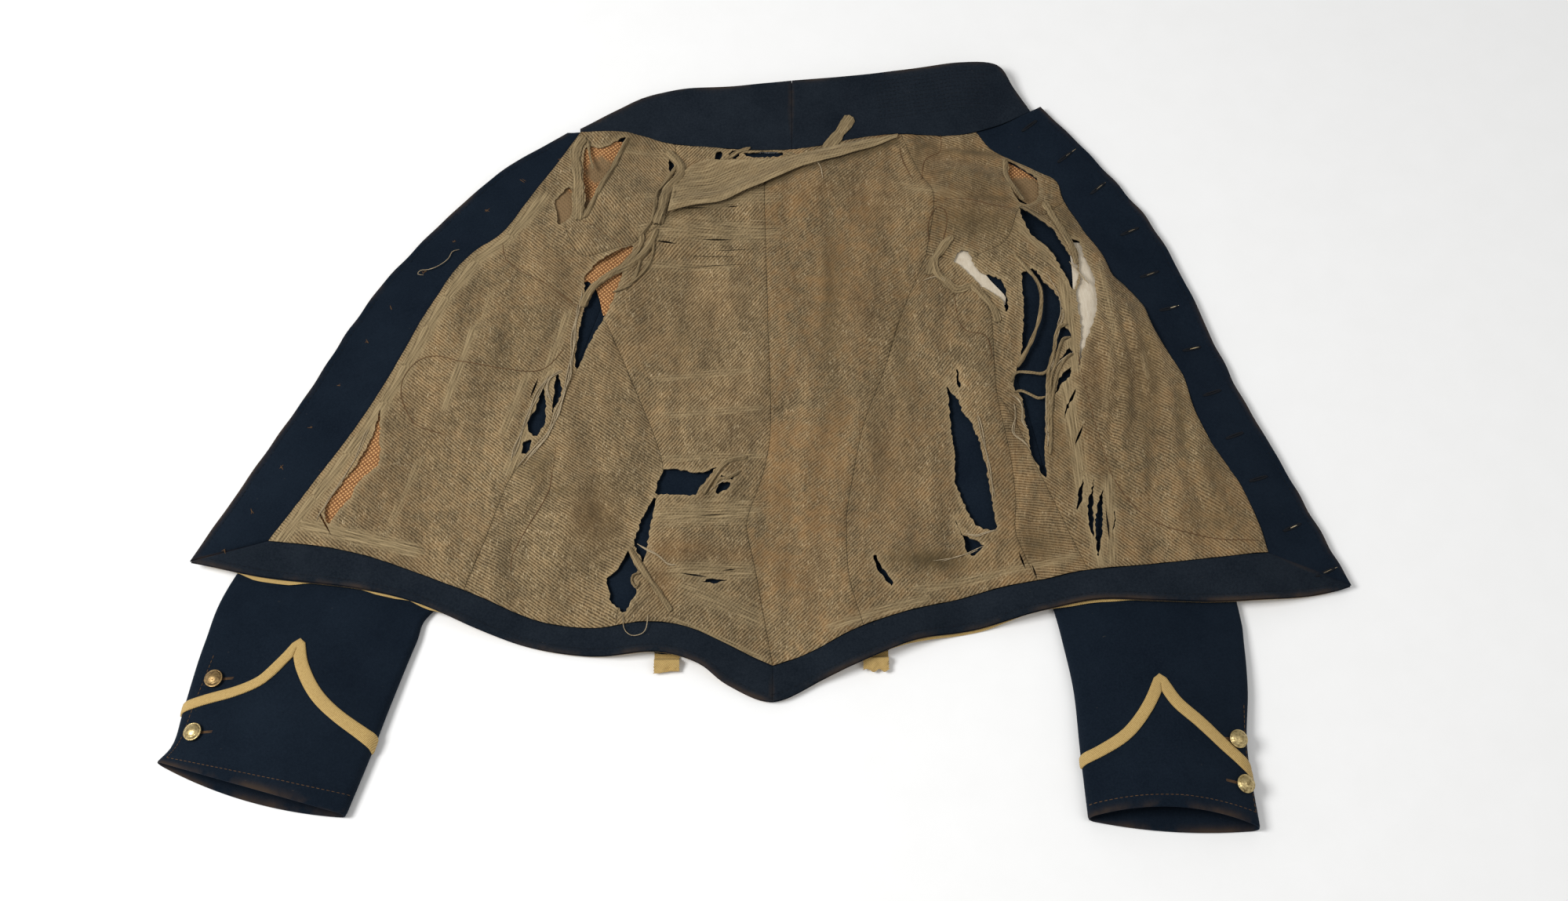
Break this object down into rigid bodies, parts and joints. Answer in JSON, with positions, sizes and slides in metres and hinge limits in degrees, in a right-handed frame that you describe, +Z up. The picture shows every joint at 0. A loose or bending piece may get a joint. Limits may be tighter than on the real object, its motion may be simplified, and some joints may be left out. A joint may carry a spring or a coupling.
{
  "type": "cavalry shell jacket",
  "caption": "Waist-length mounted soldier's jacket of dark blue wool, laid open with its torn jean lining up, sleeves folded under the fronts, cuffs with pointed yellow braid and domed buttons.",
  "frame": {"origin": "centre of the bounding box at the height of the table that the jacket lies on", "axes": "+X to the wearer's left across the opened fronts, +Y from the hem to the collar, +Z up from the table"},
  "size_m": [0.9442, 0.7066, 0.0242],
  "materials": {
    "wool": "dark blue fulled wool, matt with a short nap",
    "lining": "worn grey-brown jean twill, matt",
    "canvas": "coarse tan canvas, matt",
    "cotton": "off-white cotton padding, matt",
    "braid": "faded yellow worsted braid",
    "brass": "dull aged brass"
  },
  "bodies": {
    "root": {"back": "wool", "front_right": "wool", "front_left": "wool", "facing_right": "wool", "facing_left": "wool", "hem_facing_right": "wool", "hem_facing_left": "wool", "collar": "wool", "collar_facing_right": "wool", "collar_facing_left": "wool", "sleeve_top_right": "wool", "sleeve_under_right": "wool", "sleeve_top_left": "wool", "sleeve_under_left": "wool", "bolster_right": "wool", "bolster_left": "wool", "lining_front_right": "lining", "lining_side_right": "lining", "lining_back_right": "lining", "lining_head_right": "lining", "lining_back_left": "lining", "lining_side_left": "lining", "lining_gusset_left": "lining", "lining_front_left": "lining", "lining_head_left": "lining", "canvas_right": "canvas", "canvas_left": "canvas", "wadding_front_left": "cotton", "wadding_armhole_left": "cotton", "cuff_braid_right": "braid", "cuff_braid_left": "braid", "edge_braid_front_right": "braid", "edge_braid_front_left": "braid", "edge_braid_hem_right": "braid", "edge_braid_hem_left": "braid", "edge_braid_collar": "braid", "bolster_braid_right": "braid", "bolster_braid_left": "braid", "cuff_button_right_1": "brass", "cuff_button_right_2": "brass", "cuff_button_left_1": "brass", "cuff_button_left_2": "brass", "front_button_1": "brass", "front_button_2": "brass", "front_button_3": "brass", "front_button_4": "brass", "front_button_5": "brass", "front_button_6": "brass", "front_button_7": "brass", "front_button_8": "brass", "front_button_9": "brass", "front_button_10": "brass", "front_button_11": "brass", "front_button_12": "brass"}
  },
  "joints": []
}
